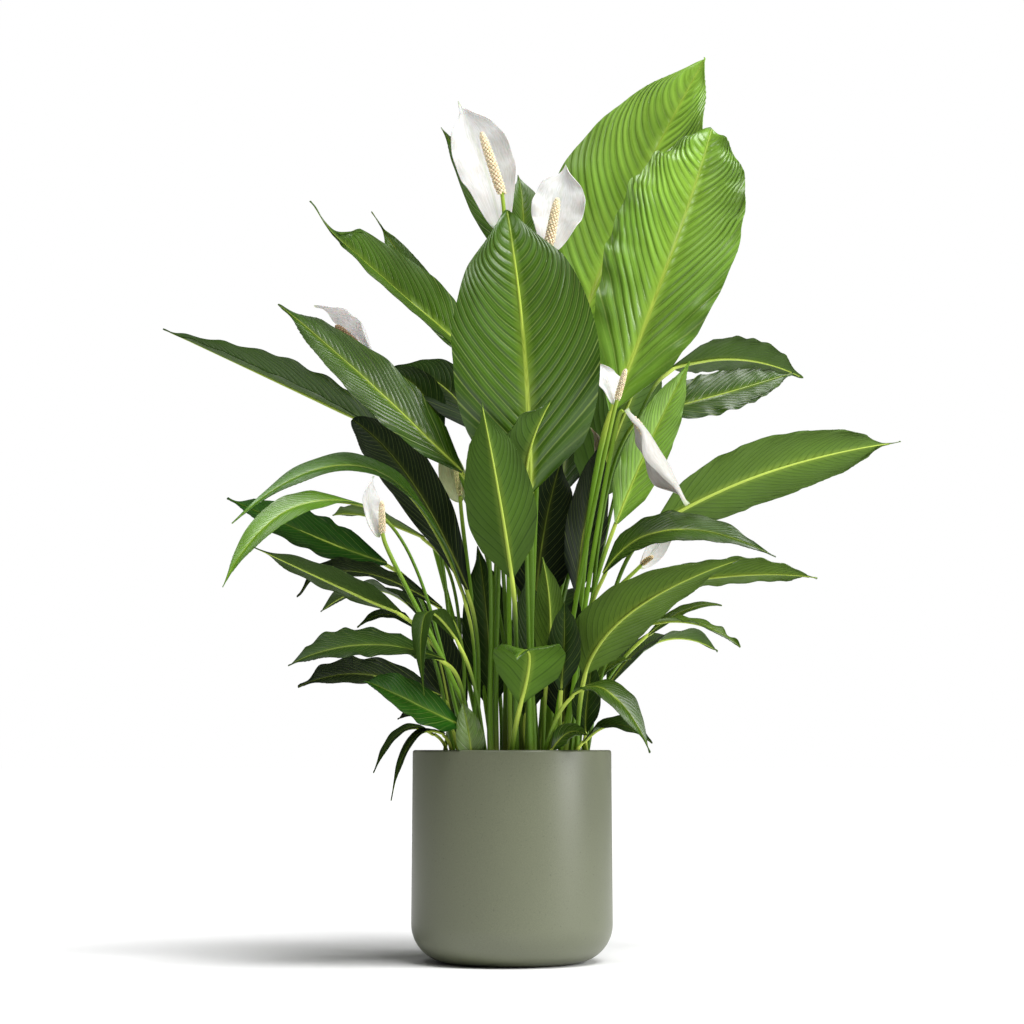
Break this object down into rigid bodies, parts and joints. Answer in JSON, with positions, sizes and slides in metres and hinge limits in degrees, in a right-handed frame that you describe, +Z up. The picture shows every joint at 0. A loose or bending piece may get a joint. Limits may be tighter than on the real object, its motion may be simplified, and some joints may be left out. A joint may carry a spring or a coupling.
{
  "type": "potted peace lily",
  "caption": "Flowering peace lily with broad arching leaves and white hooded flowers, in a round sage-green pot with a rounded foot.",
  "frame": {"origin": "centre of the flat underside of the pot, on the surface it stands on", "axes": "+Z up along the pot's axis, -Y towards the front of the plant, +X to its right"},
  "size_m": [0.936, 0.59, 1.127],
  "materials": {
    "pot": "satin",
    "soil": "matte",
    "leaf": "satin",
    "flower_stalk": "satin",
    "spadix": "matte",
    "spathe": "satin"
  },
  "bodies": {
    "root": {"pot": "pot", "soil": "soil", "upper_leaf_1": "leaf", "upper_leaf_2": "leaf", "upper_leaf_3": "leaf", "upper_leaf_4": "leaf", "upper_leaf_5": "leaf", "left_leaf_1": "leaf", "left_leaf_2": "leaf", "left_leaf_3": "leaf", "left_leaf_4": "leaf", "left_leaf_5": "leaf", "left_leaf_6": "leaf", "left_leaf_7": "leaf", "left_leaf_8": "leaf", "left_leaf_9": "leaf", "left_leaf_10": "leaf", "left_leaf_11": "leaf", "left_leaf_12": "leaf", "left_leaf_13": "leaf", "low_leaf_1": "leaf", "low_leaf_2": "leaf", "low_leaf_3": "leaf", "low_leaf_4": "leaf", "low_leaf_5": "leaf", "centre_leaf_1": "leaf", "centre_leaf_2": "leaf", "centre_leaf_3": "leaf", "centre_leaf_4": "leaf", "centre_leaf_5": "leaf", "right_leaf_1": "leaf", "right_leaf_2": "leaf", "right_leaf_3": "leaf", "right_leaf_4": "leaf", "right_leaf_5": "leaf", "right_leaf_6": "leaf", "right_leaf_7": "leaf", "right_leaf_8": "leaf", "back_leaf_1": "leaf", "back_leaf_2": "leaf", "back_leaf_3": "leaf", "back_leaf_4": "leaf", "flower_1_stalk": "flower_stalk", "flower_1_spadix": "spadix", "flower_1_spathe": "spathe", "flower_2_stalk": "flower_stalk", "flower_2_spadix": "spadix", "flower_2_spathe": "spathe", "flower_3_stalk": "flower_stalk", "flower_3_spadix": "spadix", "flower_3_spathe": "spathe", "flower_4_stalk": "flower_stalk", "flower_4_spadix": "spadix", "flower_4_spathe": "spathe", "flower_5_stalk": "flower_stalk", "flower_5_spadix": "spadix", "flower_5_spathe": "spathe", "flower_6_stalk": "flower_stalk", "flower_6_spadix": "spadix", "flower_6_spathe": "spathe"}
  },
  "joints": []
}
